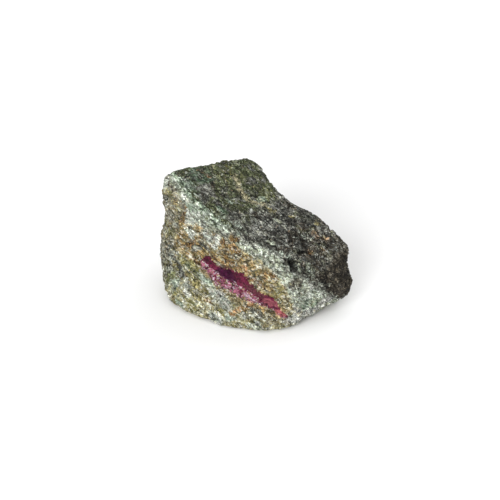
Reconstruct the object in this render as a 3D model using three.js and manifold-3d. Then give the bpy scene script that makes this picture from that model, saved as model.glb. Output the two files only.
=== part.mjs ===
// A rough lump of ruby in zoisite: one hand-sized piece of broken rock, with no holder.
// Millimetres, +Z up. The origin is under the middle of the lump, on the surface that it lies on.
// -Y is the broken front face that shows the ruby lens, +X is the low, thin end and -X the tall end.
//
// The lump is the hull of its fracture corners. Conchoidal dents are pressed into it, its edges are
// worn round, low swells and foliation ribs give the faces their unevenness, and the underside is
// ground level with the surface, so that the lump lies without rocking.
import * as THREE from "three";
import { ConvexGeometry } from "three/addons/geometries/ConvexGeometry.js";
import { ImprovedNoise } from "three/addons/math/ImprovedNoise.js";
import { TessellateModifier } from "three/addons/modifiers/TessellateModifier.js";
import { mergeVertices } from "three/addons/utils/BufferGeometryUtils.js";
import Module from "manifold-3d";

// ---------------------------------------------------------------- driving dimensions
const LONGEST_EDGE = 3.3; // of a facet in the finished model
const WELD = 0.01; // vertices closer than this are one
const EDGE_WEAR = 0.42; // share by which each pass rounds the corners off
const WEAR_PASSES = 2;
const SINK = 1; // depth ground off the underside to seat it

// Low swells, waviness and foliation ribs: height, and the length that each one repeats over.
const SWELL = { height: 0.75, length: 15 };
const WAVE = { height: 0.45, length: 6.5 };
const RIB = { height: 0.4, length: 3.6, stretch: 4.5 };

// The rock's layers run along this direction, down towards the thin end and the front.
const FOLIATION = new THREE.Vector3(0.79, -0.45, -0.42).normalize();

// ---------------------------------------------------------------- fracture corners
// Each face's corners, in order round it. Neighbouring faces share the corners between them.
const TOP_FACE = [
  [-29.2, 8, 39.5],
  [-26.8, 11.4, 41.8],
  [-16.4, 18.6, 41.1],
  [-2.5, 25.8, 38.6],
  [1.5, 21.7, 35.6],
  [18.9, 9.9, 26.9],
  [27.9, 3.2, 21.7],
  [29.5, 0.7, 19.6],
  [10.6, -12.8, 22.2],
  [1.5, -7.8, 26.6],
  [-7.7, -2.6, 31.1],
  [-17.6, 0.8, 34.9],
  [-23.9, 8.3, 40.1],
];
const PALE_BEVEL = [
  [-22.8, 5.7, 36.5],
  [-19.6, 0.2, 26.2],
  [-9.3, -4.7, 24.2],
  [-0.7, -9.1, 21.3],
];
const FRONT_FOOT = [
  [-29.3, -0.6, 4.2],
  [-25.5, -4.8, 2],
  [-16.3, -10.5, 0.2],
  [-10.3, -14.8, 0],
  [1.5, -16.9, 0.3],
  [9.6, -15.6, 0.8],
  [15.9, -11.4, 2],
  [20.1, -9.2, 3.6],
];
const THIN_END = [
  [23.1, -10.7, 9.6],
  [23.8, -6.5, 5.2],
  [30.4, -4.2, 9.5],
  [29.3, -4.8, 6.7],
];
const TALL_END = [
  [-23, 2.6, 29],
  [-26.6, 1.8, 21.5],
  [-27.6, 0.4, 14],
  [-31, 10.4, 16],
  [-29.6, 14, 24],
  [-27, 20.5, 33],
];
const BACK = [
  [-14, 27, 30.5],
  [-20, 27, 14],
  [-5.5, 31.3, 12.5],
  [8.5, 27, 18.5],
  [22.5, 16, 10.5],
  [28, 8.5, 7],
];
const UNDERSIDE = [
  [-26.5, -0.6],
  [-15.5, -7.4],
  [-9, -12.2],
  [2, -14.1],
  [9.5, -12.3],
  [16.5, -7.6],
  [21.5, -1.5],
  [25, 5],
  [20, 15.5],
  [7, 25],
  [-8, 28],
  [-22, 22],
  [-28.5, 10],
].map(([x, y]) => [x, y, -0.5]);

// ---------------------------------------------------------------- dents
// Scooped fractures: where each is centred, how far it reaches, how deep it is, and which way it
// pushes the surface in.
const DENTS = [
  { name: "upper scoop of the tall end", at: [-30, 9, 27], reach: 9, depth: 1.6, push: [0.9, 0.4, 0] },
  { name: "lower scoop of the tall end", at: [-27, -1, 12.5], reach: 7, depth: 1.8, push: [0.6, 0.8, 0] },
  { name: "notch in the foot of the front", at: [-14, -11.5, 1], reach: 4, depth: 0.8, push: [0, 0.9, 0.4] },
  { name: "notch in the top edge", at: [-18, 18.5, 40.5], reach: 5, depth: 0.8, push: [0.1, -0.3, -0.95] },
  { name: "hollow in the ridge", at: [12, -13.5, 21.5], reach: 5, depth: 1.1, push: [-0.3, 0.6, -0.7] },
  { name: "high sag in the back edge", at: [9.5, 17, 32], reach: 12, depth: 2.4, push: [-0.6, -0.3, -0.75] },
  { name: "sag in the back edge", at: [14.2, 10.5, 28.5], reach: 7.5, depth: 0.8, push: [-0.4, -0.4, -0.8] },
  { name: "low sag in the back edge", at: [23, 7, 25], reach: 5, depth: 0.7, push: [-0.5, -0.4, -0.75] },
  { name: "nick in the thin end", at: [30.5, -1, 15], reach: 6, depth: 1.1, push: [-1, 0, 0] },
  { name: "scoop under the thin end", at: [24, -8.7, 6.6], reach: 6.5, depth: 1, push: [-0.2, 0.4, 0.9] },
  { name: "hollow in the back", at: [-2, 31, 24], reach: 12, depth: 2.4, push: [0.1, -1, -0.2] },
  { name: "scoop high in the back", at: [-11, 26, 33], reach: 7.5, depth: 1.5, push: [0.2, -0.9, -0.4] },
  { name: "scoop low in the back", at: [16, 23, 8], reach: 9, depth: 2, push: [-0.5, -0.85, 0.1] },
  { name: "step across the back", at: [8, 28, 12], reach: 7, depth: 1.4, push: [-0.3, -0.9, 0.2] },
  { name: "scoop under the back edge", at: [19, 18, 18], reach: 7, depth: 1.6, push: [-0.5, -0.8, -0.1] },
  { name: "scoop in the back corner", at: [-25, 22, 12], reach: 9, depth: 2.4, push: [0.8, -0.6, 0] },
];

// ---------------------------------------------------------------- surface
const noise = new ImprovedNoise();

// Smooth noise about 1 high, which repeats over length and can be drawn out along the foliation.
function swell(point, { length, stretch = 1 }, shift) {
  const along = point.dot(FOLIATION);
  const p = point.clone().addScaledVector(FOLIATION, along * (1 / stretch - 1));
  return noise.noise(p.x / length + shift, p.y / length - shift, p.z / length + 2 * shift);
}

// How far the surface stands out of its flat face at a point.
function unevenness(point) {
  const ribs = 1 - 2 * Math.abs(swell(point, RIB, 7.3));
  return (
    SWELL.height * swell(point, SWELL, 3.1) +
    WAVE.height * swell(point, WAVE, 11.7) +
    RIB.height * (ribs - 0.6)
  );
}

function pressDents(point) {
  for (const dent of DENTS) {
    const distance = point.distanceTo(new THREE.Vector3(...dent.at)) / dent.reach;
    if (distance >= 1) continue;
    const bowl = (1 - distance * distance) ** 2;
    const push = new THREE.Vector3(...dent.push).normalize();
    point.addScaledVector(push, dent.depth * bowl);
  }
}

// One list of the vertices that share a facet's edge with each vertex.
function neighboursOf(geometry) {
  const around = Array.from({ length: geometry.attributes.position.count }, () => new Set());
  const { array } = geometry.index;
  for (let i = 0; i < array.length; i += 3) {
    for (let corner = 0; corner < 3; corner++) {
      const a = array[i + corner];
      const b = array[i + ((corner + 1) % 3)];
      around[a].add(b);
      around[b].add(a);
    }
  }
  return around;
}

// Moves every vertex part of the way to the middle of its neighbours, which rounds the edges.
function wearEdges(geometry) {
  const position = geometry.attributes.position;
  const around = neighboursOf(geometry);
  for (let pass = 0; pass < WEAR_PASSES; pass++) {
    const before = Array.from({ length: position.count }, (_, i) =>
      new THREE.Vector3().fromBufferAttribute(position, i),
    );
    around.forEach((ring, i) => {
      const middle = new THREE.Vector3();
      for (const j of ring) middle.add(before[j]);
      middle.divideScalar(ring.size);
      const moved = before[i].clone().lerp(middle, EDGE_WEAR);
      position.setXYZ(i, moved.x, moved.y, moved.z);
    });
  }
}

function roughen(geometry) {
  const { position } = geometry.attributes;
  geometry.computeVertexNormals();
  const { normal } = geometry.attributes;
  for (let i = 0; i < position.count; i++) {
    const point = new THREE.Vector3().fromBufferAttribute(position, i);
    const outwards = new THREE.Vector3().fromBufferAttribute(normal, i);
    const height = unevenness(point);
    point.addScaledVector(outwards, height);
    pressDents(point);
    position.setXYZ(i, point.x, point.y, point.z);
  }
  geometry.deleteAttribute("normal");
}

function welded(geometry) {
  for (const name of ["normal", "uv"]) geometry.deleteAttribute(name);
  return mergeVertices(geometry, WELD);
}

function lumpSurface() {
  const corners = [TOP_FACE, PALE_BEVEL, FRONT_FOOT, THIN_END, TALL_END, BACK, UNDERSIDE].flat();
  const hull = new ConvexGeometry(corners.map((corner) => new THREE.Vector3(...corner)));
  const facets = welded(new TessellateModifier(LONGEST_EDGE, 12).modify(hull));
  wearEdges(facets);
  roughen(facets);
  return facets;
}

// ---------------------------------------------------------------- solids
const wasm = await Module();
wasm.setup();

function toSolid(geometry) {
  return new wasm.Manifold(
    new wasm.Mesh({
      numProp: 3,
      vertProperties: new Float32Array(geometry.attributes.position.array),
      triVerts: new Uint32Array(geometry.index.array),
    }),
  );
}

function toGeometry(solid) {
  const { vertProperties, triVerts } = solid.getMesh();
  return new THREE.BufferGeometry()
    .setAttribute("position", new THREE.BufferAttribute(vertProperties, 3))
    .setIndex(new THREE.BufferAttribute(triVerts, 1));
}

// Grinds the underside level, and puts the origin under the middle of what is left.
function seated(geometry) {
  geometry.computeBoundingBox();
  const size = geometry.boundingBox.getSize(new THREE.Vector3());
  const reach = 2 * Math.max(size.x, size.y, size.z);
  const ground = new THREE.BoxGeometry(reach, reach, reach);
  ground.translate(0, 0, geometry.boundingBox.min.z + SINK - reach / 2);
  const stone = toGeometry(toSolid(geometry).subtract(toSolid(welded(ground))));
  stone.computeBoundingBox();
  const { min, max } = stone.boundingBox;
  stone.translate(-(min.x + max.x) / 2, -(min.y + max.y) / 2, -min.z);
  return stone;
}

const zoisite = new THREE.MeshStandardMaterial({ color: 0x7f8066, roughness: 0.75, metalness: 0 });
const stone = new THREE.Mesh(seated(lumpSurface()), zoisite);
stone.name = "ruby_in_zoisite";

const lump = new THREE.Group();
lump.add(stone);

export default lump;
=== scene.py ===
"""A rough lump of ruby in zoisite, broken from a larger rock and lying on its level underside.

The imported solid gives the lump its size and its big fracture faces. Geometry Nodes break that skin
into ledges, grains and crevices and raise the ruby lens, and one rock material colours every grain by
the mineral layer that it lies in. Places and sizes are millimetres in the lump's own frame.
"""
import math

import bpy
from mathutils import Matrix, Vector


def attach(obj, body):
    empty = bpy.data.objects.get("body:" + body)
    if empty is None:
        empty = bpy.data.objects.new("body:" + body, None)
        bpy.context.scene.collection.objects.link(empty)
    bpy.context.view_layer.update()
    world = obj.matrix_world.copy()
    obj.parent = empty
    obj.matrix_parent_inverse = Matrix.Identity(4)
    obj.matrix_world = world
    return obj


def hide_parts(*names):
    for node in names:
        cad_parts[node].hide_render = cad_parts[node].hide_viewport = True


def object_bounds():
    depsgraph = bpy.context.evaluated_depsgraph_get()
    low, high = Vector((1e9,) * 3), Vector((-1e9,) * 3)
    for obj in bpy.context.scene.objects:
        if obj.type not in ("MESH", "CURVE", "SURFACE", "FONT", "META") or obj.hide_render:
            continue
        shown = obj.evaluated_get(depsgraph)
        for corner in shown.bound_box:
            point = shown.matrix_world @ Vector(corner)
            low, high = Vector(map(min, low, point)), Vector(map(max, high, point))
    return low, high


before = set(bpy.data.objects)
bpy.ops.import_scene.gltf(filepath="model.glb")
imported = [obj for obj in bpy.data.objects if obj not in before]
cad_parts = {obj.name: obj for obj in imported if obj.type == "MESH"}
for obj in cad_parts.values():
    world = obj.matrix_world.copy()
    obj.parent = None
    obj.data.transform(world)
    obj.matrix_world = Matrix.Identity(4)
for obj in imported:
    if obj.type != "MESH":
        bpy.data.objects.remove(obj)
solid_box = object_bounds()

MM = 0.001
NODE = "ruby_in_zoisite"

# ------------------------------------------------------------------ layers of the rock
# The rock is layered parallel to its dark top face. ACROSS points up through the layers, ALONG runs
# down them beside the ridge, and TOP is how far the top face lies from the origin along ACROSS.
ACROSS = Vector((0.294, -0.277, 0.915)).normalized()
ALONG = Vector((0.797, -0.457, -0.3945)).normalized()
SIDEWAYS = ACROSS.cross(ALONG)
TOP = 29.2

# ------------------------------------------------------------------ skin
SKIN_PITCH = 0.37  # between the vertices of the fine mesh
SMOOTHING = 12  # passes that melt the solid's facets together
BED = 1.6  # height over which the relief dies out towards the level underside
WELD = 0.01  # vertices of the solid closer than this are one
SKIN_LEVEL = -0.28  # how far out of the solid's faces the middle of the relief lies
BENDS = 0.22  # waves to the millimetre that bend the layers
BEND_REACH = 5.0  # a wave bends the layers by up to a quarter of this
FRAY_REACH = 1.5  # the same, for facets and crevices
LEDGE_WAVE = 7.5  # between the bays in the edge of a ledge
LEDGES_IN_A_BAY = 9  # ledges that the deepest bay cuts through
LEDGES_ACROSS = 0.28  # ledges to the millimetre across the layers
LEDGE_RISER = 0.3  # share of a ledge that its riser takes up
SWELL = 11.0  # between the low swells
RIPPLE = 2.4  # between the ripples
LARGE_FACET = 2.3  # across a grain that broke along a plane of its own
LARGE_TILT = 0.4
SMALL_FACET = 1.3
SMALL_TILT = 0.25
HAIRLINE_SPACING = 6.0
HAIRLINE_WIDTH = 0.02  # as a share of the noise that the hairlines follow

# ------------------------------------------------------------------ grain
CLUSTER = 2.2  # across a cluster of crystals that lie side by side
CRYSTAL = 0.38  # across one of those crystals
CRYSTAL_LENGTH = 4.2  # of a crystal, over its width
GRAIN = 0.23  # across the finest grains
TONE_RANGE = 3.2  # how much lighter a light grain is than a middling one
MOTTLE = 2.6  # across a spot of one mineral
STREAKING = 0.5  # cells and spots are drawn out along the layers by the inverse of this
CLUSTER_LEAN = 0.6  # how strongly the crystals of a cluster keep to the layers' direction
CLUSTERS_APART = 40  # so that no two clusters are cut from the same crystals
RAGGED_WAVE = 1.1  # between the waves in the edge of a spot or a grain
RAGGED_REACH = 1.6  # those waves move it by up to a quarter of this
KNOT = 1.3  # across a knot of grains
STREAK = 0.55  # across a streak of light or dark grains, which is eight times as long
PATCH = 3.0  # across a lighter or darker patch
ROUGH_PATCH = 6.0  # across a patch where grains differ more or less than elsewhere
BLOTCH = 4.5  # across a blotch on the low crust
CRACK_SPACING = 1.5
CRACK_WIDTH = 0.05  # as a share of the noise that the cracks follow
CRYSTAL_RIM = 0.38  # from the middle of a crystal, in widths; it is darker past this
GLASSY_GRAINS = 0.15  # share of the grains that are glassy
CRYSTAL_STRAY = 1.0  # how far crystals, grains and knots stray over the edge of a layer
GRAIN_STRAY = 0.6
KNOT_STRAY = 2.0
STRAY_ACROSS = 0.6  # share of that which they stray across the layers
GRAIN_RELIEF = 0.08  # how proud of the skin crystals and grains stand
KNOT_RELIEF = 0.3
CRACK_DEPTH = 0.1

# How much each thing adds to the tone of a grain.
TONE_WEIGHTS = {
    "crystal": 1.3,
    "crystal rim": 1.6,
    "grain": 1.8,
    "knots": 0.9,
    "cracks": -0.9,
    "streaks": 2.0,
    "patches": 1.8,
}

# How much light and dark grains differ, and how white the light ones are: all over, and what each
# part of the rock adds. The thin end counts on the low crust only.
CONTRAST = {"all": 0.9, "low crust": 0.2, "thin end": -0.25, "front": -0.19, "ruby": -0.3}
WHITENESS = {"all": 0.42, "low crust": 0.1, "front": 0.33, "ruby": -0.65}

# What else is added to the tone.
LIFT = 0.05
FRONT_LIFT = 0.03
LIGHT_GRAIN_DROP = 0.08
# Painted shade: how much darker the colour is in crevices and hollows, by their depth.
CREVICE_PAINTED_SHADE = 1.5
BLOTCH_STRENGTH = 1.6
BLOTCH_DROP = 0.06

# The sheen of the rock.
ROUGHNESS = 0.85
GLASSY_SMOOTHER = 0.35
RUBY_SMOOTHER = 0.25
SPECULAR = 0.2

# ------------------------------------------------------------------ ruby lens
# Its edges on the front face: the distance along the layers, the depth of the upper edge, that of the
# lower edge, and that of the foot of its dark body. Under the foot it is pink and speckled.
LENS = (
    (-15.8, 12.8, 13.6, 13.4),
    (-15.0, 10.8, 14.4, 12.8),
    (-14.0, 10.1, 14.9, 12.6),
    (-12.5, 10.6, 15.0, 13.0),
    (-11.5, 11.4, 15.2, 12.8),
    (-10.0, 11.0, 15.6, 12.7),
    (-8.0, 10.5, 16.2, 13.4),
    (-6.5, 10.2, 16.4, 13.4),
    (-5.0, 9.8, 15.8, 13.0),
    (-3.5, 9.3, 15.4, 12.6),
    (-2.0, 8.9, 15.3, 13.0),
    (-0.5, 9.4, 15.2, 12.8),
    (1.0, 10.2, 15.3, 12.6),
    (3.0, 10.8, 15.0, 12.7),
    (5.0, 11.0, 14.8, 12.8),
    (6.5, 10.9, 14.3, 13.1),
    (8.0, 10.4, 14.2, 13.9),
    (9.3, 10.4, 14.1, 13.9),
    (11.0, 11.4, 14.0, 13.9),
    (13.0, 13.1, 14.9, 14.8),
    (15.0, 14.6, 15.8, 15.7),
    (16.4, 15.9, 16.2, 16.2),
)
LENS_BACK = -11.5  # the lens ends this far sideways, inside the lump
LENS_RAGGED = (1.5, 2.0)  # the waves in its edges: between two of them, and their reach
HOST_FLECKS = 0.18  # share of the crystals of its lower half that are the rock round it
PINK_CRYSTALS = 0.65  # share of them that are pink
LILAC_CRYSTALS = 0.22  # share of them that are lilac

# ------------------------------------------------------------------ edges of the layers
# At each distance along the layers: the depth of the foot of the crust, that of the foot of the pale
# band under it, and how far sideways the band reaches over the ridge onto the top.
LAYER_EDGES = (
    (-40.0, 0.6, 4.2, -6.4),
    (-36.0, 0.6, 4.0, -7.0),
    (-31.5, 0.5, 4.4, -9.0),
    (-27.5, 0.4, 5.4, -10.0),
    (-23.5, 0.3, 5.0, -10.6),
    (-19.5, 0.3, 4.0, -10.8),
    (-12.0, 0.4, 2.7, -11.0),
    (-5.5, 0.4, 2.8, -9.8),
    (0.0, 0.4, 3.2, -7.8),
    (4.4, 0.4, 4.0, -7.3),
    (9.0, 0.8, 5.2, -8.8),
    (14.0, 2.6, 9.0, -12.0),
    (20.0, 6.2, 19.0, -14.0),
    (25.0, 11.2, 19.0, -14.0),
)
FRINGE = 1.2  # width of the green fringe between the crust and the pale band
LAYERS_BENT = (4.0, 4.0)  # the waves in the layers' edges: between two of them, and their reach

# Where one part of the rock gives way to the next. Along the layers:
GREEN_CRUST_TO_GREY = (-14.0, -8.0)
GREY_CRUST_TO_BROWN = (-3.0, 4.0)
CRUST_TO_THIN_END = (15.0, 18.0)
GREEN_FRINGE_TO_GREY = (-20.0, -10.0)
FINE_CRUST_TO_BLOTCHED = (-14.0, -4.0)
BLOTCHED_CRUST_TO_PLAIN = (12.0, 18.0)
# In depth from the top, and then in depth under the crust:
OCHRE_TO_FOOT = (16.0, 18.0)
BAND_TO_NESTS = (1.5, 3.5)
CRUST_TO_FRONT = (0.0, 1.5)
# Sideways, towards the back, where the crust grows thicker, and by how much:
CRUST_THICKENS = (6.0, 14.0)
THICKER_CRUST = 2.5

DARK_END_STRENGTH = 0.85  # of the dark brown on the thin end's crust

# The rind of the tall end, darker partly for its own khaki-grey tint and partly as painted shade on a
# face that is lit less: at each depth, how far along the layers it reaches.
RIND_AND_SHADE_EDGE = ((0.4, -42.0), (1.0, -32.0), (2.1, -29.0), (4.3, -28.0), (7.0, -26.6), (30.0, -25.6))

# ------------------------------------------------------------------ spots and crevices
SPOT_EDGE = (0.75, 1.1)  # a spot fades out between these shares of its size
STRIPE_EDGE = (0.7, 1.1)  # and a stripe between these shares of its half-width

# Spots that run sideways through the rock: where they are along the layers and in depth, their
# half-length and half-height, and the mixture that fills them.
FRONT_SPOTS = (
    (-26.6, 1.6, 2.6, 1.4, "mint"),
    (-25.0, 4.6, 1.8, 2.4, "white"),
    (-21.4, 3.6, 1.4, 1.2, "grey green"),
    (-18.2, 5.8, 2.4, 1.7, "white"),
    (-14.4, 4.8, 2.0, 1.4, "white"),
    (-14.7, 6.9, 1.7, 0.9, "white"),
    (-38.8, 2.0, 1.8, 1.2, "white"),
    (-10.6, 1.8, 1.8, 0.9, "rust"),
    (-22.8, 8.4, 2.8, 1.6, "white"),
    (-9.8, 4.4, 4.4, 1.6, "rust"),
    (-14.0, 2.2, 1.8, 1.0, "grey green"),
    (1.2, 4.2, 3.6, 1.1, "cream"),
    (4.2, 5.4, 2.0, 0.8, "rust"),
    (9.2, 6.8, 1.4, 0.8, "ochre"),
    (-23.4, 12.4, 3.4, 2.0, "ochre"),
    (-17.2, 8.6, 2.6, 1.0, "shade"),
    (-19.4, 11.2, 1.8, 1.0, "shade"),
    (-18.0, 14.6, 4.0, 1.5, "rust"),
    (-7.2, 8.0, 3.8, 1.2, "rust"),
    (-2.8, 7.4, 1.1, 0.9, "orange"),
    (-10.4, 9.9, 2.2, 0.7, "shade"),
    (2.8, 8.7, 3.8, 1.2, "brown"),
    (9.0, 9.0, 1.6, 1.3, "straw"),
    (-21.2, 18.0, 1.6, 2.2, "olive"),
    (-17.0, 17.4, 2.8, 2.3, "olive"),
    (-18.6, 17.8, 1.5, 1.8, "green"),
    (-14.6, 18.3, 2.0, 1.8, "green"),
    (-18.8, 21.8, 2.2, 1.4, "shade"),
    # Painted shade: the dark hollow in the lower left of the front.
    (-24.4, 25.0, 2.0, 2.2, "shade"),
    (-10.0, 17.8, 3.8, 1.3, "mint"),
    (-6.0, 18.6, 3.0, 1.9, "white"),
    (-2.6, 19.4, 2.4, 2.2, "white"),
    (-2.4, 25.6, 3.2, 1.8, "white"),
    (9.6, 21.0, 2.6, 1.6, "pale"),
    (13.8, 17.4, 2.2, 1.6, "cream"),
    (-13.0, 21.5, 2.4, 1.5, "straw"),
    (-16.2, 23.4, 1.6, 1.4, "white"),
    (-9.4, 23.6, 2.0, 1.2, "straw"),
    (-7.4, 22.6, 1.6, 1.0, "rust"),
    (-1.6, 22.4, 1.6, 1.4, "olive"),
    (1.2, 21.8, 1.8, 1.1, "mint"),
    (7.6, 17.4, 2.4, 1.3, "shade"),
    (-22.4, 26.6, 2.0, 2.6, "moss"),
    (-19.3, 26.8, 1.6, 2.6, "mint"),
    (-14.2, 25.8, 1.6, 0.9, "white"),
    (-14.6, 30.0, 2.2, 1.2, "mint"),
    (-17.4, 28.0, 1.4, 1.5, "olive"),
    (-10.6, 26.8, 2.8, 2.0, "olive"),
    (12.4, 5.2, 2.2, 1.6, "shade"),
    (18.4, 5.2, 2.6, 1.5, "slate"),
    (19.0, 14.2, 4.0, 3.4, "milky"),
    (18.6, 11.2, 2.0, 2.6, "mint"),
    (22.6, 10.6, 2.0, 1.4, "milky"),
)

# Stripes that run sideways through the rock: the start and the end of each, along the layers and in
# depth, its half-width and its mixture.
FRONT_STRIPES = (
    (11.4, 9.6, 15.4, 14.2, 0.8, "ochre"),
    (8.8, 6.8, 12.4, 9.6, 0.9, "straw"),
    (12.4, 9.6, 16.4, 14.4, 0.8, "cream"),
    (16.2, 4.8, 18.4, 8.8, 0.5, "white"),
    (4.6, 15.6, 2.8, 18.2, 0.8, "orange"),
    (2.8, 18.2, 1.6, 20.8, 0.7, "orange"),
    (-20.4, 8.6, -23.6, 14.4, 0.8, "rust"),
    (-28.6, 3.0, -27.4, 7.5, 0.6, "rust"),
    (-13.6, 9.6, -7.6, 9.4, 0.7, "rust"),
    # Painted shade: the dark line along the hollow in the lower left of the front.
    (-26.0, 19.2, -19.4, 22.8, 1.3, "grey green"),
    (-27.4, 22.0, -23.4, 30.0, 1.0, "shade"),
)

# Spots on the top: where they are along the layers and sideways, half-length, half-width, mixture.
TOP_SPOTS = (
    (-33.0, -7.4, 4.6, 1.7, "mint"),
    (-27.0, -5.2, 3.6, 2.2, "grey crust"),
    (-19.0, -6.6, 4.6, 1.6, "grey crust"),
    (-32.0, -1.0, 4.4, 4.2, "spruce"),
    (-18.8, -7.4, 2.6, 1.1, "spruce"),
    (-25.0, 6.5, 5.0, 5.0, "green"),
    (-31.5, 0.5, 2.6, 0.8, "brown"),
    (-19.4, 9.0, 1.4, 2.4, "grey crust"),
    (-12.4, 9.6, 3.0, 3.4, "moss"),
    (-12.2, 5.6, 1.4, 1.4, "mint"),
    (-22.0, 7.6, 2.0, 1.8, "moss"),
    (-26.0, -8.4, 2.4, 1.4, "grey green"),
    (-12.4, -8.2, 4.8, 2.2, "grey green"),
    (-2.4, -8.4, 2.6, 1.8, "grey green"),
    (-14.6, -4.6, 2.0, 1.6, "grey crust"),
    (-7.0, 11.2, 2.4, 2.2, "brown crust"),
    (-8.0, 4.0, 1.6, 1.0, "straw"),
    (-10.4, -0.4, 2.6, 1.3, "brown crust"),
    (-25.0, -2.2, 3.4, 0.5, "dark end"),
    (-5.2, -2.6, 4.6, 2.6, "grey crust"),
    (-4.4, 2.6, 1.2, 1.0, "pale"),
    (-0.8, -6.0, 1.6, 0.9, "pale"),
    (3.6, 0.8, 1.4, 1.1, "dark end"),
    (5.8, 3.8, 3.2, 2.4, "dark end"),
    (6.2, -5.6, 2.4, 1.6, "grey green"),
    (5.8, -0.8, 2.0, 1.4, "grey crust"),
    (9.8, -8.2, 3.0, 2.2, "pale"),
    (13.6, -4.4, 2.2, 1.6, "pale"),
    (2.0, 11.8, 2.4, 2.2, "grey green"),
    (6.0, 11.4, 2.0, 1.6, "grey crust"),
    (10.0, 7.6, 2.8, 2.0, "dark end"),
    (13.6, 3.4, 1.8, 1.6, "brown crust"),
    (16.6, 2.4, 1.2, 2.4, "grey crust"),
    (-1.6, 8.0, 0.8, 1.0, "straw"),
    (5.6, 11.8, 1.1, 0.8, "straw"),
    (7.8, 7.6, 1.8, 1.5, "brown"),
    (3.5, 6.0, 1.0, 0.9, "brown"),
    (10.2, 0.4, 1.6, 1.1, "brown"),
    (13.0, 4.4, 1.6, 1.1, "brown"),
    (11.2, 9.4, 1.3, 1.0, "brown"),
    (-3.6, 12.6, 2.0, 1.4, "dark end"),
)

# Spots in the ruby lens: where they are along the layers and in depth, their half-length and
# half-height, and the ruby that fills them.
RUBY_SPOTS = (
    (-13.6, 11.4, 1.6, 1.3, "head"),
    (-6.6, 12.0, 3.8, 1.5, "core"),
    (-3.6, 10.7, 1.6, 0.9, "head"),
    (3.2, 11.5, 4.4, 0.9, "maroon"),
    (8.0, 13.6, 1.6, 0.5, "maroon"),
    (9.8, 12.2, 3.2, 1.1, "rose"),
    (14.0, 14.4, 3.6, 1.2, "tail"),
)

# Small nests of one mineral, scattered through the front and through the crust: the mineral, the
# distance between nests, the share of the rock that they take up, and how pure they are.
FRONT_NESTS = (
    ("olive", 2.6, 0.34, 0.45),
    ("rust", 2.3, 0.26, 0.4),
    ("grey green", 3.1, 0.26, 0.4),
    ("white", 1.7, 0.36, 0.5),
    ("shade", 1.5, 0.22, 0.4),
)
# Nests in the tall end's rind, whose darkness is partly its own tint and partly painted shade.
RIND_AND_SHADE_NESTS = (
    ("olive", 9.0, 0.36, 0.7),
    ("grey green", 7.0, 0.30, 0.7),
    ("rust", 5.5, 0.26, 0.6),
    ("slate", 4.0, 0.24, 0.6),
)
CRUST_NESTS = (
    ("grey crust", 2.8, 0.34, 0.6),
    ("green", 3.3, 0.30, 0.5),
    ("brown crust", 2.4, 0.34, 0.6),
    ("pale", 1.5, 0.20, 0.4),
    ("brown", 1.3, 0.16, 0.5),
)

# Crevices and hollows: the two ends, the half-width and the depth. The depth sinks the skin and also
# darkens the colour there as painted shade.
CREVICES = {
    "cleft at the ridge": ((10.9, -17.2, 22.9), (11.7, -18.8, 20.6), 1.5, 1.2),
    "notch in the ridge": ((8.3, -18.8, 23.1), (9.8, -18.7, 22.6), 0.7, 0.7),
    "pit in the top": ((13.7, -13.2, 23.5), (14.3, -12.7, 23.2), 1.2, 1.1),
    "nick above the cleft": ((10.3, -10.8, 25.6), (11.8, -9.9, 25.3), 0.6, 0.7),
    "hollow of the tall end": ((-24.4, -7.6, 13.6), (-23.4, -8.8, 11.8), 2.2, 0.35),
    "crack over the lens": ((-19.6, -10.2, 20.6), (-16.6, -11.6, 18.8), 0.7, 0.6),
    "crack under the band": ((-17.8, -10.0, 23.4), (-14.4, -11.6, 21.6), 0.6, 0.7),
}

# A cream veinlet that crosses the top.
VEINLET = ((-6.6, 8.2, 37.3), (-4.9, 3.6, 35.5), (-2.2, 0.2, 33.3), (2.4, 0.9, 31.6))
VEINLET_WIDTH = 1.3  # from its middle, at the most; its edge is as ragged as this
VEINLET_STRENGTH = 0.6


def srgb(red, green, blue):
    """A colour as seen on a screen, 0 to 255, as a linear one."""
    def linear(value):
        share = value / 255
        return share / 12.92 if share <= 0.04045 else ((share + 0.055) / 1.055) ** 2.4

    return (linear(red), linear(green), linear(blue), 1.0)


# ------------------------------------------------------------------ minerals
SOOT = srgb(48, 45, 40)
UMBER = srgb(78, 70, 56)
SLATE = srgb(86, 87, 83)
BOTTLE_GREEN = srgb(68, 76, 54)
MOSS = srgb(87, 92, 64)
SPRUCE = srgb(74, 92, 74)
LICHEN = srgb(112, 116, 76)
OLIVE = srgb(109, 106, 61)
SEA_GREEN = srgb(122, 137, 116)
SAGE = srgb(146, 150, 126)
MINT = srgb(178, 190, 174)
CHALK = srgb(210, 210, 202)
WHITE_GRAIN = srgb(207, 210, 202)
ASH = srgb(118, 118, 108)
PEARL = srgb(150, 152, 146)
PUTTY = srgb(154, 144, 108)
STRAW = srgb(162, 154, 100)
CREAM = srgb(190, 180, 146)
KHAKI = srgb(136, 126, 94)
OCHRE = srgb(153, 123, 70)
RUST = srgb(136, 104, 70)
ORANGE = srgb(164, 122, 80)
RUBY = srgb(100, 30, 56)
RUBY_PINK = srgb(154, 93, 112)
LILAC = srgb(190, 172, 182)
RUBIES = {
    "head": srgb(80, 20, 44),
    "core": srgb(64, 5, 45),
    "maroon": srgb(88, 42, 52),
    "rose": srgb(140, 74, 84),
    "tail": srgb(160, 88, 90),
}

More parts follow.
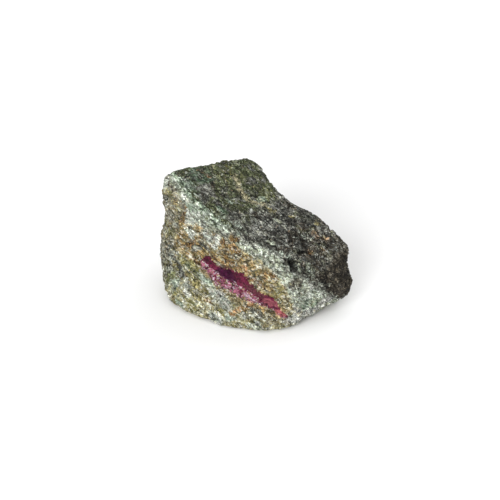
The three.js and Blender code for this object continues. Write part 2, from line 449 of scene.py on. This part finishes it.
# Each mixture runs from the minerals in its dark spots to those in its light ones.
MIXTURES = {
    "green crust": (BOTTLE_GREEN, MOSS, MOSS, SLATE),
    "grey crust": (SOOT, SLATE, ASH, PEARL),
    "spruce": (BOTTLE_GREEN, SPRUCE, SPRUCE, SEA_GREEN),
    "brown crust": (SOOT, UMBER, SLATE, SLATE),
    "dark end": (SOOT, SOOT, UMBER, UMBER),
    "brown": (SOOT, UMBER, RUST, RUST),
    "slate": (SOOT, SLATE, ASH, ASH),
    "fringe": (MOSS, SEA_GREEN, SEA_GREEN, MINT),
    "green": (BOTTLE_GREEN, MOSS, MOSS, OLIVE),
    "mint": (SEA_GREEN, SEA_GREEN, MINT, MINT),
    "pale": (ASH, SAGE, MINT, CHALK),
    "white": (ASH, MINT, CHALK, CHALK),
    "milky": (PEARL, PEARL, CHALK, CHALK),
    "grey green": (SLATE, ASH, ASH, MINT),
    "moss": (MOSS, LICHEN, LICHEN, SAGE),
    "ochre": (UMBER, KHAKI, OCHRE, PUTTY),
    "rust": (UMBER, RUST, OCHRE, PUTTY),
    "orange": (RUST, ORANGE, ORANGE, CREAM),
    "cream": (KHAKI, PUTTY, CREAM, CHALK),
    "straw": (OLIVE, KHAKI, STRAW, STRAW),
    "olive": (MOSS, OLIVE, STRAW, SAGE),
    "shade": (SLATE, UMBER, ASH, SAGE),
    "foot": (OLIVE, PUTTY, SAGE, CHALK),
    # The tall end's rind: its own khaki-grey tint, deepened as painted shade where that face is lit
    # less.
    "rind_and_shade": (UMBER, ASH, KHAKI, ASH),
}

# ------------------------------------------------------------------ node trees
class Value:
    """One output of a node. Arithmetic on it adds Math nodes to its tree."""

    def __init__(self, tree, socket):
        self.tree = tree
        self.socket = socket

    def output(self, name):
        return Value(self.tree, self.socket.node.outputs[name])

    def math(self, operation, *others):
        operands = dict(enumerate((self, *others)))
        return self.tree.node("ShaderNodeMath", {"operation": operation}, operands)

    def __add__(self, other):
        return self.math("ADD", other)

    def __sub__(self, other):
        return self.math("SUBTRACT", other)

    def __mul__(self, other):
        return self.math("MULTIPLY", other)

    def __truediv__(self, other):
        return self.math("DIVIDE", other)

    def __rsub__(self, other):
        return self * -1 + other

    def __abs__(self):
        return self.math("ABSOLUTE")

    def __gt__(self, other):
        return self.math("GREATER_THAN", other)

    def __lt__(self, other):
        return self.math("LESS_THAN", other)

    __radd__ = __add__
    __rmul__ = __mul__


class Tree:
    """A node tree, and the few ways in which nodes are added to it."""

    def __init__(self, nodes):
        self.nodes = nodes

    def node(self, kind, settings=None, inputs=None, output=0):
        """Adds a node, with its settings first, then the values or links of its inputs."""
        made = self.nodes.nodes.new(kind)
        for name, setting in (settings or {}).items():
            if name == "stops":
                set_stops(made.color_ramp, setting)
            else:
                setattr(made, name, setting)
        for key, value in (inputs or {}).items():
            if isinstance(value, Value):
                self.nodes.links.new(value.socket, made.inputs[key])
            else:
                made.inputs[key].default_value = value
        return Value(self, made.outputs[output]) if made.outputs else made

    def vector(self, operation, *vectors):
        return self.node("ShaderNodeVectorMath", {"operation": operation}, dict(enumerate(vectors)))

    def measure(self, operation, *vectors):
        """A number that is measured from vectors, such as the distance between two."""
        settings = {"operation": operation}
        return self.node("ShaderNodeVectorMath", settings, dict(enumerate(vectors)), "Value")

    def scaled(self, vector, scale):
        return self.node("ShaderNodeVectorMath", {"operation": "SCALE"}, {0: vector, "Scale": scale})

    def dot(self, vector, direction):
        return self.measure("DOT_PRODUCT", vector, direction)

    def parts(self, vector):
        """The three numbers in a vector or a colour."""
        split = self.node("ShaderNodeSeparateXYZ", None, {0: vector})
        return split, split.output("Y"), split.output("Z")

    def mix(self, factor, first, second):
        return self.node("ShaderNodeMix", {"data_type": "RGBA"}, {0: factor, 6: first, 7: second}, 2)

    def ramp(self, factor, stops):
        return self.node("ShaderNodeValToRGB", {"stops": stops}, {0: factor})

    def rise(self, value, low, high):
        """0 below low, 1 above high, and smooth between them."""
        settings = {"interpolation_type": "SMOOTHSTEP"}
        return self.node("ShaderNodeMapRange", settings, {"Value": value, 1: low, 2: high})

    def noise(self, place, size, detail=2.0, roughness=0.5):
        """Noise about 0, nearly always within 0.5, whose waves are about size apart."""
        values = {"Vector": place, "Scale": 1 / size, "Detail": detail, "Roughness": roughness}
        return self.node("ShaderNodeTexNoise", None, values) - 0.5

    def cells(self, place, size):
        """Cells about size across. Color holds three random numbers for each cell."""
        return self.node("ShaderNodeTexVoronoi", None, {"Vector": place, "Scale": 1 / size})


def set_stops(color_ramp, stops):
    while len(color_ramp.elements) < len(stops):
        color_ramp.elements.new(1.0)
    for element, (position, color) in zip(color_ramp.elements, stops):
        element.position = position
        element.color = color


# ------------------------------------------------------------------ places in the rock
MIDDLE = (0.5, 0.5, 0.5)  # of the random numbers in a cell's or a noise's colour


class Place:
    """A point in the rock, and where that is in its layers."""

    def __init__(self, tree, point):
        self.depth = TOP - tree.dot(point, ACROSS)
        self.along = tree.dot(point, ALONG)
        self.sideways = tree.dot(point, SIDEWAYS)


def drawn_out(tree, point):
    """Squeezes the layers' direction, so that cells and noise come out longer along it."""
    shift = tree.scaled(ALONG, tree.dot(point, ALONG) * (STREAKING - 1))
    return tree.vector("ADD", point, shift)


def profile(tree, value, rows):
    """The rows' second to fourth numbers where the first is value, joined by straight lines."""
    start, end = rows[0][0], rows[-1][0]
    numbers = [number for _, *others in rows for number in others]
    low, span = min(numbers), max(numbers) - min(numbers)
    stops = []
    for first, *others in rows:
        shares = [(number - low) / span for number in others] + [0.0, 0.0]
        stops.append(((first - start) / (end - start), (*shares[:3], 1.0)))
    found = tree.parts(tree.ramp((value - start) / (end - start), stops))
    return [part * span + low for part in found]


def lens_depth(tree, place):
    """How deep inside the ruby lens a place is: 1 on its middle line, 0 at its edge, less outside.

    The second number is how far it lies under the lens's dark body."""
    upper, lower, foot = profile(tree, place.along, LENS)
    across = (place.depth - (upper + lower) * 0.5) / ((lower - upper) * 0.5 + 0.05)
    ended = (place.along > LENS[0][0]) * (place.along < LENS[-1][0]) * (place.sideways < LENS_BACK)
    return (1 - abs(across)) * ended - (1 - ended), place.depth - foot


def spot(tree, place, centre, half_length, half_width):
    """1 inside an oval spot, 0 outside."""
    arm = tree.vector("SUBTRACT", place, centre)
    share = tree.vector("MULTIPLY", arm, (1 / half_length, 1 / half_width, 0))
    return 1 - tree.rise(tree.measure("LENGTH", share), *SPOT_EDGE)


def gap_to(tree, point, start, end):
    """The distance from a point to the straight line between two places."""
    start, way = Vector(start), Vector(end) - Vector(start)
    arm = tree.vector("SUBTRACT", point, start)
    share = (tree.dot(arm, way) / way.length_squared).math("MAXIMUM", 0).math("MINIMUM", 1)
    return tree.measure("DISTANCE", arm, tree.scaled(way, share))


def crevices(tree, point):
    """The depth of the crevices at a point."""
    depth = 0
    for start, end, half_width, deep in CREVICES.values():
        away = gap_to(tree, point, start, end)
        depth = depth + (1 - tree.rise(away, half_width * 0.3, half_width)) * deep
    return depth


def facets(tree, cell, point, tilt):
    """The height of a grain's own tilted facet above the middle of its cell."""
    lean = tree.vector("SUBTRACT", cell.output("Color"), MIDDLE)
    arm = tree.vector("SUBTRACT", point, cell.output("Position"))
    return tree.dot(arm, lean) * tilt


# ------------------------------------------------------------------ relief of the skin
def skin_tree(rock):
    """Geometry Nodes that break the lump's skin into ledges, grains and crevices."""
    group = bpy.data.node_groups.new("broken skin", "GeometryNodeTree")
    sizes = {
        "Ledge Height": 0.8,
        "Swell Height": 0.8,
        "Ripple Height": 0.9,
        "Facet Tilt": 0.6,
        "Grain Height": 0.04,
        "Hairline Depth": 0.5,
        "Ruby Height": 0.3,
    }
    group.interface.new_socket("Geometry", in_out="INPUT", socket_type="NodeSocketGeometry")
    group.interface.new_socket("Geometry", in_out="OUTPUT", socket_type="NodeSocketGeometry")
    for name, default in sizes.items():
        socket = group.interface.new_socket(name, in_out="INPUT", socket_type="NodeSocketFloat")
        socket.default_value = default
    tree = Tree(group)
    asked = tree.node("NodeGroupInput")
    metres = tree.node("GeometryNodeInputPosition")
    kept = tree.node(
        "GeometryNodeStoreNamedAttribute",
        {"data_type": "FLOAT_VECTOR", "domain": "POINT"},
        {"Geometry": asked, "Name": "unbroken_place", "Value": metres},
    )
    point = tree.scaled(metres, 1 / MM)
    warp = tree.node("ShaderNodeTexNoise", None, {"Vector": point, "Scale": BENDS, "Detail": 3.0})
    shift = tree.vector("SUBTRACT", warp.output("Color"), MIDDLE)
    bent = tree.vector("ADD", point, tree.scaled(shift, BEND_REACH))
    frayed = tree.vector("ADD", point, tree.scaled(shift, FRAY_REACH))
    stretched = drawn_out(tree, bent)

    # Ledges where layers broke off one after the other.
    layer = tree.noise(stretched, LEDGE_WAVE) * LEDGES_IN_A_BAY + tree.dot(bent, ACROSS) * LEDGES_ACROSS
    step = layer.math("FRACT")
    ledge = tree.rise(step, 0.0, LEDGE_RISER) - step
    swell = tree.noise(point, SWELL, 3.0, 0.55)
    ripple = tree.noise(stretched, RIPPLE, 3.0, 0.6)

    # Grains, each broken along a plane of its own.
    drawn = drawn_out(tree, frayed)
    large = tree.cells(drawn, LARGE_FACET)
    small = tree.cells(drawn, SMALL_FACET)
    broken = facets(tree, large, drawn, LARGE_TILT) + facets(tree, small, drawn, SMALL_TILT)
    proud = tree.parts(small.output("Color"))[0] - 0.5

    # Hairline crevices along the layers.
    seam = abs(tree.noise(drawn_out(tree, stretched), HAIRLINE_SPACING))
    hairline = 1 - tree.rise(seam, 0.0, HAIRLINE_WIDTH)

    ruby = tree.rise(lens_depth(tree, Place(tree, point))[0], 0.0, 0.5)
    height = ledge * asked.output("Ledge Height") + SKIN_LEVEL
    height += swell * asked.output("Swell Height") + ripple * asked.output("Ripple Height")
    height += broken * asked.output("Facet Tilt") + proud * asked.output("Grain Height")
    height += ruby * asked.output("Ruby Height") - hairline * asked.output("Hairline Depth")
    height -= crevices(tree, frayed)
    above_bed = tree.parts(point)[2]
    height *= tree.rise(above_bed, 0.0, BED)

    normal = tree.node("GeometryNodeInputNormal")
    moved = tree.node(
        "GeometryNodeSetPosition",
        None,
        {"Geometry": kept, "Offset": tree.scaled(normal, height * MM)},
    )
    real = tree.node("GeometryNodeRealizeInstances", None, {"Geometry": moved})
    finished = tree.node("GeometryNodeSetMaterial", None, {"Geometry": real, "Material": rock})
    tree.node("NodeGroupOutput", None, {"Geometry": finished})
    return group


# ------------------------------------------------------------------ rock material
def shifted(tree, point, size, reach, detail=3.0):
    """A point moved about by up to a quarter of reach or so, in waves that are about size apart."""
    values = {"Vector": point, "Scale": 1 / size, "Detail": detail, "Roughness": 0.65}
    warp = tree.node("ShaderNodeTexNoise", None, values).output("Color")
    return tree.vector("ADD", point, tree.scaled(tree.vector("SUBTRACT", warp, MIDDLE), reach))


def threads(tree, place, size, width):
    """1 on thin lines that wander through the rock, 0 off them."""
    return 1 - tree.rise(abs(tree.noise(place, size, 1.0)), width * 0.3, width)


def crystals(tree, point):
    """Squeezes each cluster of crystals along a direction of its own, into a place of its own."""
    cluster = tree.cells(point, CLUSTER)
    turn = cluster.output("Color")
    lean = tree.vector("ADD", tree.vector("SUBTRACT", turn, MIDDLE), ALONG * CLUSTER_LEAN)
    way = tree.vector("NORMALIZE", lean)
    arm = tree.vector("SUBTRACT", point, cluster.output("Position"))
    narrowed = tree.vector("ADD", arm, tree.scaled(way, tree.dot(arm, way) * (1 / CRYSTAL_LENGTH - 1)))
    return tree.vector("ADD", narrowed, tree.scaled(turn, CLUSTERS_APART))


class Grains:
    """The crystals and grains at a point. Each has three random numbers of its own."""

    def __init__(self, tree, point):
        self.ragged = shifted(tree, point, RAGGED_WAVE, RAGGED_REACH)
        self.stretched = drawn_out(tree, self.ragged)
        self.from_middle = tree.cells(crystals(tree, self.ragged), CRYSTAL)
        self.crystal_lots = tree.parts(self.from_middle.output("Color"))
        self.grain_lots = tree.parts(tree.cells(self.stretched, GRAIN).output("Color"))
        self.knots = tree.noise(self.stretched, KNOT, 3.0, 0.6)
        self.cracks = threads(tree, self.stretched, CRACK_SPACING, CRACK_WIDTH)
        crystal_jitter = (self.crystal_lots[1] - 0.5) * CRYSTAL_STRAY
        grain_jitter = (self.grain_lots[1] - 0.5) * GRAIN_STRAY
        self.jitter = crystal_jitter + grain_jitter + self.knots * KNOT_STRAY

    def tone(self, tree, point):
        """How light a grain is: about 0 for a middling one, 1 for a light one."""
        uneven = {
            "crystal": self.crystal_lots[0] - 0.5,
            "crystal rim": CRYSTAL_RIM - self.from_middle,
            "grain": self.grain_lots[0] - 0.5,
            "knots": self.knots,
            "cracks": self.cracks,
            "streaks": tree.noise(drawn_out(tree, drawn_out(tree, self.stretched)), STREAK),
            "patches": tree.noise(self.stretched, PATCH),
        }
        parts = {name: value * TONE_WEIGHTS[name] for name, value in uneven.items()}
        rough = 0.8 + tree.noise(point, ROUGH_PATCH) * 1.6
        tone = (parts["crystal"] + parts["crystal rim"] + parts["grain"]) * rough
        return tone + parts["knots"] + parts["cracks"] + parts["streaks"] + parts["patches"]

    def height(self):
        """How proud of the skin a grain stands."""
        lots = (self.crystal_lots[0] - 0.5) + (self.grain_lots[0] - 0.5)
        return lots * GRAIN_RELIEF + self.knots * KNOT_RELIEF - self.cracks * CRACK_DEPTH


class Strata(Place):
    """Where a point lies in the layers, whose edges are bent and frayed."""

    def __init__(self, tree, point, grains):
        super().__init__(tree, shifted(tree, point, *LAYERS_BENT, 5.0))
        self.jitter = grains.jitter
        self.frayed_along = self.along + self.jitter
        self.frayed_depth = self.depth + self.jitter * STRAY_ACROSS
        crust_foot, band_foot, band_edge = profile(tree, self.along, LAYER_EDGES)
        crust_foot = crust_foot + tree.rise(self.sideways, *CRUST_THICKENS) * THICKER_CRUST
        over_ridge = band_edge - self.sideways + self.jitter
        self.under_crust = (self.frayed_depth - crust_foot).math("MAXIMUM", over_ridge)
        self.under_band = self.frayed_depth - band_foot


def mixtures(tree, grains):
    """The colour at a point of each mixture of minerals."""
    mottle = tree.noise(grains.stretched, MOTTLE * 0.5, 4.0, 0.65) * 1.9 + 0.5
    mottle = mottle + (grains.crystal_lots[1] - 0.5) * 0.5
    first, apart = 0.15, 0.23  # where the minerals lie in the mottle
    colors = {}
    for name, minerals in MIXTURES.items():
        stops = [(first + apart * step, mineral) for step, mineral in enumerate(minerals)]
        colors[name] = tree.ramp(mottle, stops)
    return colors


def with_spots(tree, color, colors, place, spots):
    """A colour with oval spots of other mixtures over it."""
    for first, second, half_length, half_width, mixture in spots:
        inside = spot(tree, place, (first, second, 0), half_length, half_width)
        color = tree.mix(inside, color, colors[mixture])
    return color


def with_stripes(tree, color, colors, place, stripes):
    """A colour with stripes of other mixtures over it."""
    for first, second, end_first, end_second, half_width, mixture in stripes:
        away = gap_to(tree, place, (first, second, 0), (end_first, end_second, 0))
        inside = 1 - tree.rise(away / half_width, *STRIPE_EDGE)
        color = tree.mix(inside, color, colors[mixture])
    return color


def with_nests(tree, color, colors, grains, kinds):
    """A colour with scattered nests of other mixtures over it."""
    for number, (mixture, size, share, purity) in enumerate(kinds):
        # Every kind takes its noise from a place of its own, and keeps the share that lies highest.
        apart = (13.0 * number + 5, 7.0 * number, -11.0 * number)
        level = tree.noise(tree.vector("ADD", grains.stretched, apart), size * 0.6, 3.0, 0.6)
        level = level + grains.jitter * 0.06
        edge = 0.2 - share * 0.42
        color = tree.mix(tree.rise(level, edge, edge + 0.05) * purity, color, colors[mixture])
    return color


def crust_color(tree, colors, grains, strata):
    """The dark crust of the top, from the green tall end to the brown thin end."""
    past_the_green = tree.rise(strata.frayed_along, *GREEN_CRUST_TO_GREY)
    past_the_grey = tree.rise(strata.frayed_along, *GREY_CRUST_TO_BROWN)
    color = tree.mix(past_the_green, colors["green crust"], colors["grey crust"])
    color = tree.mix(past_the_grey, color, colors["brown crust"])
    frayed_sideways = strata.sideways + strata.jitter * STRAY_ACROSS
    place = tree.node("ShaderNodeCombineXYZ", None, {0: strata.frayed_along, 1: frayed_sideways})
    color = with_spots(tree, color, colors, place, TOP_SPOTS)
    color = with_nests(tree, color, colors, grains, CRUST_NESTS)
    on_thin_end = tree.rise(strata.along, *CRUST_TO_THIN_END)
    return tree.mix(on_thin_end * DARK_END_STRENGTH, color, colors["dark end"])


def front_color(tree, colors, grains, strata):
    """The broken front: the pale band, the ochre middle, the foot, and the rind of the tall end, which
    is darkened partly as painted shade.
    """
    color = tree.mix(tree.rise(strata.under_band, -0.3, 0.8), colors["pale"], colors["ochre"])
    color = tree.mix(tree.rise(strata.frayed_depth, *OCHRE_TO_FOOT), color, colors["foot"])
    # The tall end's rind is partly its own tint and partly painted shade on a face that is lit less.
    rind_and_shade = with_nests(tree, colors["rind_and_shade"], colors, grains, RIND_AND_SHADE_NESTS)
    rind_and_shade_edge = profile(tree, strata.depth, RIND_AND_SHADE_EDGE)[0]
    in_rind_and_shade = tree.rise(rind_and_shade_edge - strata.along + strata.jitter * 0.5, -0.3, 0.5)
    color = tree.mix(in_rind_and_shade, color, rind_and_shade)
    place = tree.node("ShaderNodeCombineXYZ", None, {0: strata.frayed_along, 1: strata.frayed_depth})
    color = with_spots(tree, color, colors, place, FRONT_SPOTS)
    color = with_stripes(tree, color, colors, place, FRONT_STRIPES)
    nested = with_nests(tree, color, colors, grains, FRONT_NESTS)
    color = tree.mix(tree.rise(strata.under_crust, *BAND_TO_NESTS), color, nested)
    past_the_green = tree.rise(strata.along, *GREEN_FRINGE_TO_GREY)
    fringe = tree.mix(past_the_green, colors["fringe"], colors["grey green"])
    return tree.mix(tree.rise(strata.under_crust, FRINGE - 0.4, FRINGE + 0.4), fringe, color)


def with_veinlet(tree, color, grains):
    """A colour with the cream veinlet over it."""
    gaps = [gap_to(tree, grains.ragged, *ends) for ends in zip(VEINLET, VEINLET[1:])]
    away = gaps[0]
    for gap in gaps[1:]:
        away = away.math("MINIMUM", gap)
    in_vein = (away + grains.crystal_lots[1] * VEINLET_WIDTH) < VEINLET_WIDTH
    return tree.mix(in_vein * VEINLET_STRENGTH, color, CREAM)


def ruby_lens(tree, point, grains):
    """The colour of the ruby lens, and 1 inside it: a dark body over a lower half of pink crystals."""
    place = Place(tree, shifted(tree, point, *LENS_RAGGED, 4.0))
    inside, under_foot = lens_depth(tree, place)
    under_body = tree.rise(under_foot + (grains.crystal_lots[1] - 0.5) * 0.8, -0.3, 0.3)
    host_fleck = under_body * (grains.crystal_lots[2] > 1 - HOST_FLECKS)
    in_ruby = (inside + (grains.grain_lots[2] - 0.5) * 0.3 > 0.0) * (1 - host_fleck)
    flat_place = tree.node("ShaderNodeCombineXYZ", None, {0: place.along, 1: place.depth})
    color = with_spots(tree, RUBY, RUBIES, flat_place, RUBY_SPOTS)
    pink = under_body * (grains.crystal_lots[0] > 1 - PINK_CRYSTALS)
    lilac = under_body * (grains.crystal_lots[1] > 1 - LILAC_CRYSTALS)
    color = tree.mix(pink * 0.9, color, RUBY_PINK)
    color = tree.mix(lilac * 0.8, color, LILAC)
    return color, in_ruby


def graded(tree, color, tone, grains, strata, in_ruby):
    """A colour with its dark grains nearly black and its light ones nearly white."""
    on_front = tree.rise(strata.under_crust, *CRUST_TO_FRONT)
    on_low_crust = tree.rise(strata.along, *FINE_CRUST_TO_BLOTCHED) * (1 - on_front)
    on_thin_end = tree.rise(strata.along, *BLOTCHED_CRUST_TO_PLAIN)
    contrast = on_low_crust * (CONTRAST["low crust"] + on_thin_end * CONTRAST["thin end"])
    contrast = contrast + on_front * CONTRAST["front"] + in_ruby * CONTRAST["ruby"] + CONTRAST["all"]
    whiteness = on_low_crust * WHITENESS["low crust"] + on_front * WHITENESS["front"]
    whiteness = whiteness + in_ruby * WHITENESS["ruby"] + WHITENESS["all"]
    blotches = tree.noise(grains.stretched, BLOTCH) * BLOTCH_STRENGTH - BLOTCH_DROP
    tone = tone * contrast - tone * tone * LIGHT_GRAIN_DROP
    tone = tone + on_low_crust * blotches + on_front * FRONT_LIFT + LIFT
    # Painted shade: crevices and hollows darken the colour by their depth.
    tone = tone - crevices(tree, grains.ragged) * CREVICE_PAINTED_SHADE
    lightness = (tone.math("MINIMUM", 1.0) * math.log(TONE_RANGE)).math("EXPONENT")
    return tree.mix(tree.rise(tone, 0.2, 1.9) * whiteness, tree.scaled(color, lightness), WHITE_GRAIN)


def rock_material():
    """Zoisite, hornblende, feldspar and ruby, grain by grain."""
    material = bpy.data.materials.new("ruby in zoisite rock")
    material.use_nodes = True
    material.node_tree.nodes.clear()
    tree = Tree(material.node_tree)
    stored = {"attribute_name": "unbroken_place", "attribute_type": "GEOMETRY"}
    point = tree.scaled(tree.node("ShaderNodeAttribute", stored, output="Vector"), 1 / MM)
    grains = Grains(tree, point)
    strata = Strata(tree, point, grains)
    colors = mixtures(tree, grains)
    crust = crust_color(tree, colors, grains, strata)
    front = front_color(tree, colors, grains, strata)
    color = tree.mix(tree.rise(strata.under_crust, -0.3, 0.4), crust, front)
    color = with_veinlet(tree, color, grains)
    ruby, in_ruby = ruby_lens(tree, point, grains)
    color = tree.mix(in_ruby, color, ruby)
    color = graded(tree, color, grains.tone(tree, point), grains, strata, in_ruby)

    bump = {"Height": grains.height() * MM, "Strength": 1.0, "Distance": 1.0}
    glassy = grains.grain_lots[1] > 1 - GLASSY_GRAINS
    look = {
        "Base Color": color,
        "Roughness": ROUGHNESS - glassy * GLASSY_SMOOTHER - in_ruby * RUBY_SMOOTHER,
        "Normal": tree.node("ShaderNodeBump", None, bump),
        "Specular IOR Level": SPECULAR,
    }
    shader = tree.node("ShaderNodeBsdfPrincipled", None, look)
    tree.node("ShaderNodeOutputMaterial", None, {"Surface": shader})
    return material


# ------------------------------------------------------------------ the lump
def applied(piece):
    """Turns what a piece's modifiers make into its plain mesh."""
    depsgraph = bpy.context.evaluated_depsgraph_get()
    mesh = bpy.data.meshes.new_from_object(piece.evaluated_get(depsgraph), depsgraph=depsgraph)
    piece.modifiers.clear()
    piece.data = mesh


def make_lump():
    """Melts the solid's facets into one fine mesh, then breaks its skin."""
    lump = bpy.data.objects.new("zoisite_lump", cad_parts[NODE].data.copy())
    bpy.context.scene.collection.objects.link(lump)
    lump.data.materials.clear()
    weld = lump.modifiers.new("weld", "WELD")
    weld.merge_threshold = WELD * MM
    remesh = lump.modifiers.new("even mesh", "REMESH")
    remesh.mode = "VOXEL"
    remesh.voxel_size = SKIN_PITCH * MM
    smooth = lump.modifiers.new("melt facets", "SMOOTH")
    smooth.factor = 0.5
    smooth.iterations = SMOOTHING
    applied(lump)
    skin = lump.modifiers.new("broken skin", "NODES")
    skin.node_group = skin_tree(rock_material())
    applied(lump)
    for face in lump.data.polygons:
        face.use_smooth = True
    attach(lump, "root")
    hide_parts(NODE)


# ------------------------------------------------------------------ stage
CENTRE = sum(solid_box, Vector()) / 2
AIM = CENTRE + Vector((-1.8, -8.4, 0)) * MM
CAMERA_DISTANCE = 434 * MM
CAMERA_HEIGHT = math.radians(35)  # above the horizon
LENS_MM = 100

# Each softbox is far away: its direction from the lump, its irradiance in W/m2, and its apparent
# width in degrees. An irradiance of pi makes white paper that faces it fully white.
LIGHTS = {
    "key softbox": ((-0.42, -0.8, 0.5), 2.4, 36),
    "overhead softbox": ((0.15, 0.2, 1.0), 1.1, 80),
    "back softbox": ((0.6, 0.7, 0.5), 0.5, 60),
}
DAYLIGHT = 0.46  # radiance of the white studio


def aim(thing, place, target):
    thing.location = place
    thing.rotation_euler = (target - place).to_track_quat("-Z", "Y").to_euler()
    bpy.context.scene.collection.objects.link(thing)


def make_camera():
    data = bpy.data.cameras.new("camera")
    data.lens = LENS_MM
    camera = bpy.data.objects.new("camera", data)
    back = Vector((0, -math.cos(CAMERA_HEIGHT), math.sin(CAMERA_HEIGHT)))
    aim(camera, AIM + back * CAMERA_DISTANCE, AIM)
    bpy.context.scene.camera = camera


def make_lights():
    for name, (direction, irradiance, width) in LIGHTS.items():
        data = bpy.data.lights.new(name, "SUN")
        data.energy = irradiance
        data.angle = math.radians(width)
        aim(bpy.data.objects.new(name, data), CENTRE + Vector(direction).normalized(), CENTRE)
    world = bpy.data.worlds.new("white studio")
    world.use_nodes = True
    background = world.node_tree.nodes["Background"]
    background.inputs["Color"].default_value = (1.0, 1.0, 1.0, 1.0)
    background.inputs["Strength"].default_value = DAYLIGHT
    bpy.context.scene.world = world


def make_floor():
    half = 3.0
    mesh = bpy.data.meshes.new("floor")
    corners = [(-half, -half, 0), (half, -half, 0), (half, half, 0), (-half, half, 0)]
    mesh.from_pydata(corners, [], [(0, 1, 2, 3)])
    paper = bpy.data.materials.new("white paper")
    paper.use_nodes = True
    shader = paper.node_tree.nodes["Principled BSDF"]
    shader.inputs["Base Color"].default_value = (0.92, 0.92, 0.92, 1.0)
    shader.inputs["Roughness"].default_value = 0.9
    mesh.materials.append(paper)
    floor = bpy.data.objects.new("floor", mesh)
    bpy.context.scene.collection.objects.link(floor)


bpy.context.scene.view_settings.view_transform = "Standard"
make_camera()
make_lights()
make_floor()
make_lump()
